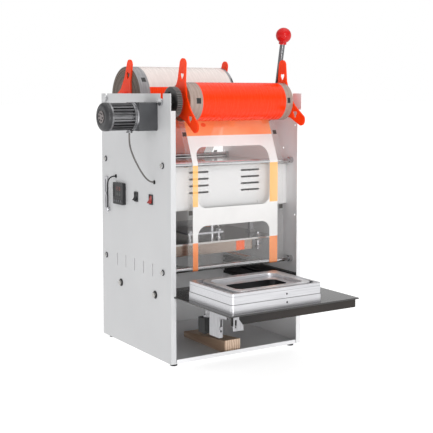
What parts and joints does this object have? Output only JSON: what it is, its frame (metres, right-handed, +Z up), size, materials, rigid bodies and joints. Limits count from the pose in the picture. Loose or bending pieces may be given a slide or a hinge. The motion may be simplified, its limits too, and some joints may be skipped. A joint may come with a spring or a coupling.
{
  "type": "tray sealing machine",
  "caption": "Bench-top manual tray and cup sealing machine with lever-pressed heating head, pull-out mould drawer and motor-wound printed film rolls.",
  "frame": {"origin": "on the plane the feet stand on, under the middle of the cabinet", "axes": "+Z up, +X to the operator's right, +Y from the drawer side to the rear"},
  "size_m": [0.4941, 0.6024, 0.7293],
  "materials": {
    "white_paint": "satin powder coat",
    "stainless": "brushed",
    "polished": "polished",
    "zinc": "zinc plated",
    "black_steel": "black oxide",
    "black_gloss": "gloss black enamel",
    "aluminium": "brushed",
    "head_alu": "heat-tinted",
    "rubber": "matt",
    "black_plastic": "fine texture",
    "grey_plastic": "matt",
    "red_plastic": "gloss",
    "orange": "gloss",
    "motor_paint": "satin",
    "film_clear": "clear printed film",
    "film_roll": "wound printed film",
    "film_white": "wound printed film",
    "grey_cable": "matt PVC",
    "wood": "planed softwood"
  },
  "bodies": {
    "cabinet": {"side_panel_left": "white_paint", "side_panel_right": "white_paint", "floor_pan": "white_paint", "rear_panel": "white_paint", "inner_box": "white_paint", "louvre_cover": "white_paint", "deck_plate": "stainless", "feet": "rubber", "rod_upper_front": "polished", "rod_upper_rear": "polished", "rod_lower_front": "polished", "rod_lower_rear": "polished", "drawer_rail_left": "black_steel", "drawer_rail_right": "black_steel", "controller_body": "black_plastic", "switch_bezels": "black_plastic", "motor_gearbox": "black_steel", "motor_ring": "zinc", "motor_body": "motor_paint", "motor_end_cap": "motor_paint", "sensor_bracket": "stainless", "guide_rods": "polished", "floor_block": "wood", "film_web": "film_clear", "motor_cable": "grey_cable", "sensor_cable": "black_plastic", "cable_grommets": "rubber"},
    "drawer": {"drawer_plate": "black_gloss", "drawer_skirt": "black_gloss", "mould_base": "aluminium", "mould_rim": "aluminium", "drawer_bracket": "zinc", "drawer_latch": "black_steel"},
    "lever": {"lever_shaft": "zinc", "lever_arm": "polished", "lever_knob": "red_plastic", "lift_pinions": "zinc"},
    "head": {"head_plate": "stainless", "heating_block": "head_alu", "head_upper_plate": "zinc", "head_bracket": "zinc", "lift_racks": "zinc", "head_springs": "zinc"},
    "takeup_roll": {"takeup_shaft": "polished", "takeup_gear": "black_plastic", "takeup_roll": "film_roll", "takeup_star_left": "orange", "takeup_star_right": "orange"},
    "supply_roll": {"supply_shaft": "polished", "supply_roll": "film_white", "supply_star_left": "orange", "supply_star_right": "orange"},
    "motor_drive": {"motor_gear": "black_plastic"},
    "rocker_black": {"rocker_black": "black_plastic"},
    "rocker_red": {"rocker_red": "red_plastic"},
    "key_set": {"key_set": "grey_plastic"},
    "key_shift": {"key_shift": "grey_plastic"},
    "key_down": {"key_down": "grey_plastic"},
    "key_up": {"key_up": "grey_plastic"}
  },
  "joints": [
    {"name": "drawer_slide", "type": "slide", "parent": "cabinet", "child": "drawer", "axis": [0, 1, 0], "range_m": [0, 0.24]},
    {"name": "lever_hinge", "type": "hinge", "parent": "cabinet", "child": "lever", "pos_m": [0, -0.003, 0.366], "axis": [1, 0, 0], "range_deg": [0, 75]},
    {"name": "head_lift", "type": "slide", "parent": "cabinet", "child": "head", "axis": [0, 0, -1], "range_m": [0, 0.02947], "stiffness_N_per_m": 1500, "springref_m": -0.04, "deforming": ["head_springs"]},
    {"name": "takeup_spin", "type": "hinge", "parent": "cabinet", "child": "takeup_roll", "pos_m": [0, -0.1245, 0.559], "axis": [1, 0, 0], "continuous": true},
    {"name": "motor_spin", "type": "hinge", "parent": "cabinet", "child": "motor_drive", "pos_m": [0, -0.07806, 0.52838], "axis": [1, 0, 0], "continuous": true},
    {"name": "supply_spin", "type": "hinge", "parent": "cabinet", "child": "supply_roll", "pos_m": [0, 0.1385, 0.566], "axis": [1, 0, 0], "continuous": true},
    {"name": "rocker_black_tilt", "type": "hinge", "parent": "cabinet", "child": "rocker_black", "pos_m": [-0.167, -0.0095, 0.3495], "axis": [0, 1, 0], "range_deg": [0, 24]},
    {"name": "rocker_red_tilt", "type": "hinge", "parent": "cabinet", "child": "rocker_red", "pos_m": [-0.167, -0.0775, 0.3495], "axis": [0, 1, 0], "range_deg": [0, 24]},
    {"name": "key_set_press", "type": "slide", "parent": "cabinet", "child": "key_set", "axis": [1, 0, 0], "range_m": [0, 0.0009], "stiffness_N_per_m": 400, "springref_m": -0.0005},
    {"name": "key_shift_press", "type": "slide", "parent": "cabinet", "child": "key_shift", "axis": [1, 0, 0], "range_m": [0, 0.0009], "stiffness_N_per_m": 400, "springref_m": -0.0005},
    {"name": "key_down_press", "type": "slide", "parent": "cabinet", "child": "key_down", "axis": [1, 0, 0], "range_m": [0, 0.0009], "stiffness_N_per_m": 400, "springref_m": -0.0005},
    {"name": "key_up_press", "type": "slide", "parent": "cabinet", "child": "key_up", "axis": [1, 0, 0], "range_m": [0, 0.0009], "stiffness_N_per_m": 400, "springref_m": -0.0005}
  ],
  "couplings": [
    {"joint": "head_lift", "follows": "lever_hinge", "m_per_rad": 0.0225},
    {"joint": "motor_spin", "follows": "takeup_spin", "ratio": -1.2821}
  ]
}
